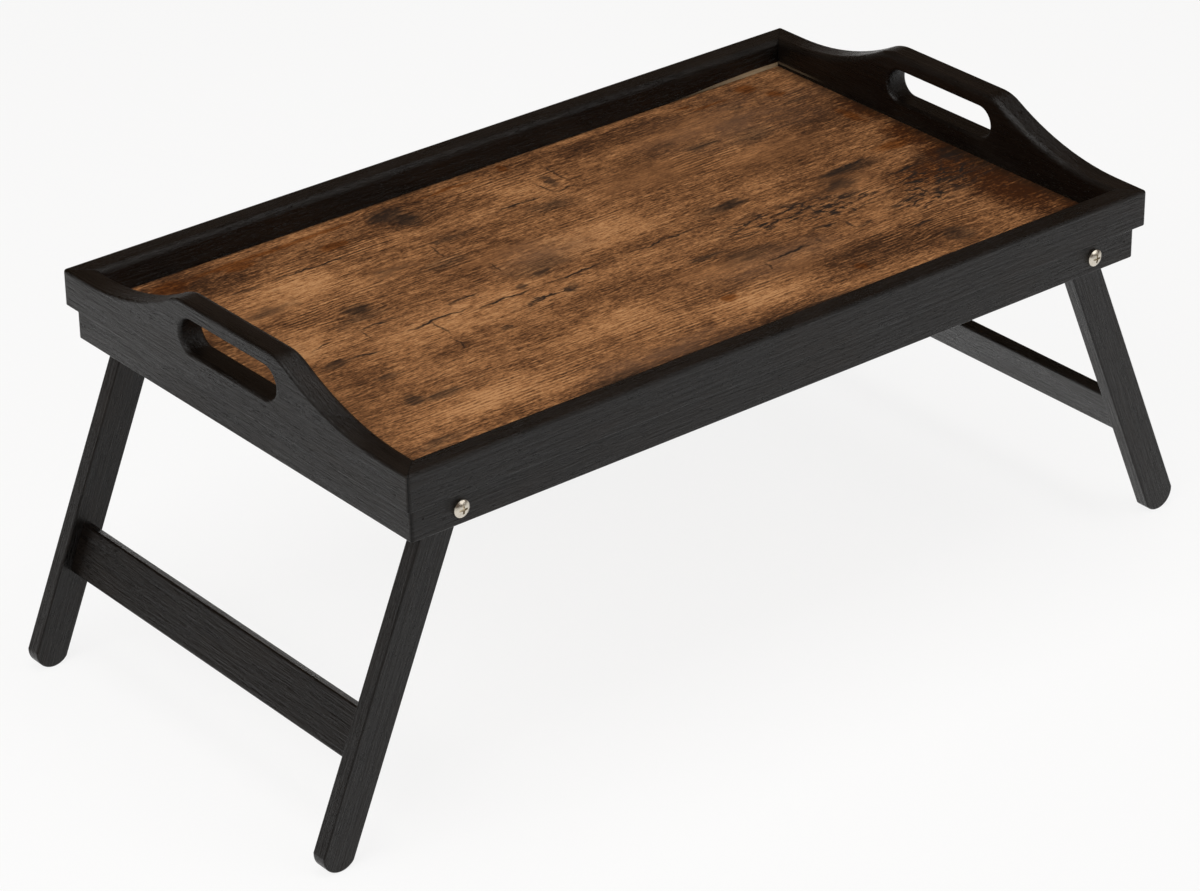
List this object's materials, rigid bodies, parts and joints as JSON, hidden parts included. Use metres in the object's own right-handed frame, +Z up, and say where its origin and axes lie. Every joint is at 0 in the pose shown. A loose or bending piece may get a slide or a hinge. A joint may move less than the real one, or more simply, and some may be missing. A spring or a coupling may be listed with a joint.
{
  "type": "bed tray table",
  "caption": "Low rectangular bed tray with raised slotted grips at the ends and splayed leg frames that fold flat under its deck.",
  "frame": {"origin": "on the floor under the centre of the tray, with the legs open", "axes": "+X along the long rails to the right end panel, +Y to the back rail, +Z up"},
  "size_m": [0.5972, 0.3, 0.2396],
  "materials": {
    "black_stained_wood": "satin black stain over open grain",
    "rustic_laminate": "semi-gloss printed rustic board",
    "deck_core": "raw fibreboard",
    "nickel_plate": "bright nickel",
    "zinc_plate": "satin zinc",
    "blackened_steel": "filled and stained over",
    "nylon": "matt",
    "ring_nylon": "matt"
  },
  "bodies": {
    "tray": {"front_rail": "black_stained_wood", "back_rail": "black_stained_wood", "left_end_panel": "black_stained_wood", "right_end_panel": "black_stained_wood", "deck_board": "deck_core", "deck_laminate": "rustic_laminate", "corner_brads": "blackened_steel", "left_front_pivot_screw": "nickel_plate", "left_back_pivot_screw": "nickel_plate", "right_front_pivot_screw": "nickel_plate", "right_back_pivot_screw": "nickel_plate", "left_front_lock_nut": "zinc_plate", "left_back_lock_nut": "zinc_plate", "right_front_lock_nut": "zinc_plate", "right_back_lock_nut": "zinc_plate", "spacer_washers": "nylon", "nut_washers": "zinc_plate", "lock_nut_rings": "ring_nylon"},
    "left_legs": {"left_front_leg": "black_stained_wood", "left_back_leg": "black_stained_wood", "left_cross_bar": "black_stained_wood"},
    "right_legs": {"right_front_leg": "black_stained_wood", "right_back_leg": "black_stained_wood", "right_cross_bar": "black_stained_wood"}
  },
  "joints": [
    {"name": "left_legs_fold", "type": "hinge", "parent": "tray", "child": "left_legs", "pos_m": [-0.2156, 0, 0.18557], "axis": [0, -1, 0], "range_deg": [0, 112.5]},
    {"name": "right_legs_fold", "type": "hinge", "parent": "tray", "child": "right_legs", "pos_m": [0.2156, 0, 0.18557], "axis": [0, 1, 0], "range_deg": [0, 112.5]}
  ]
}
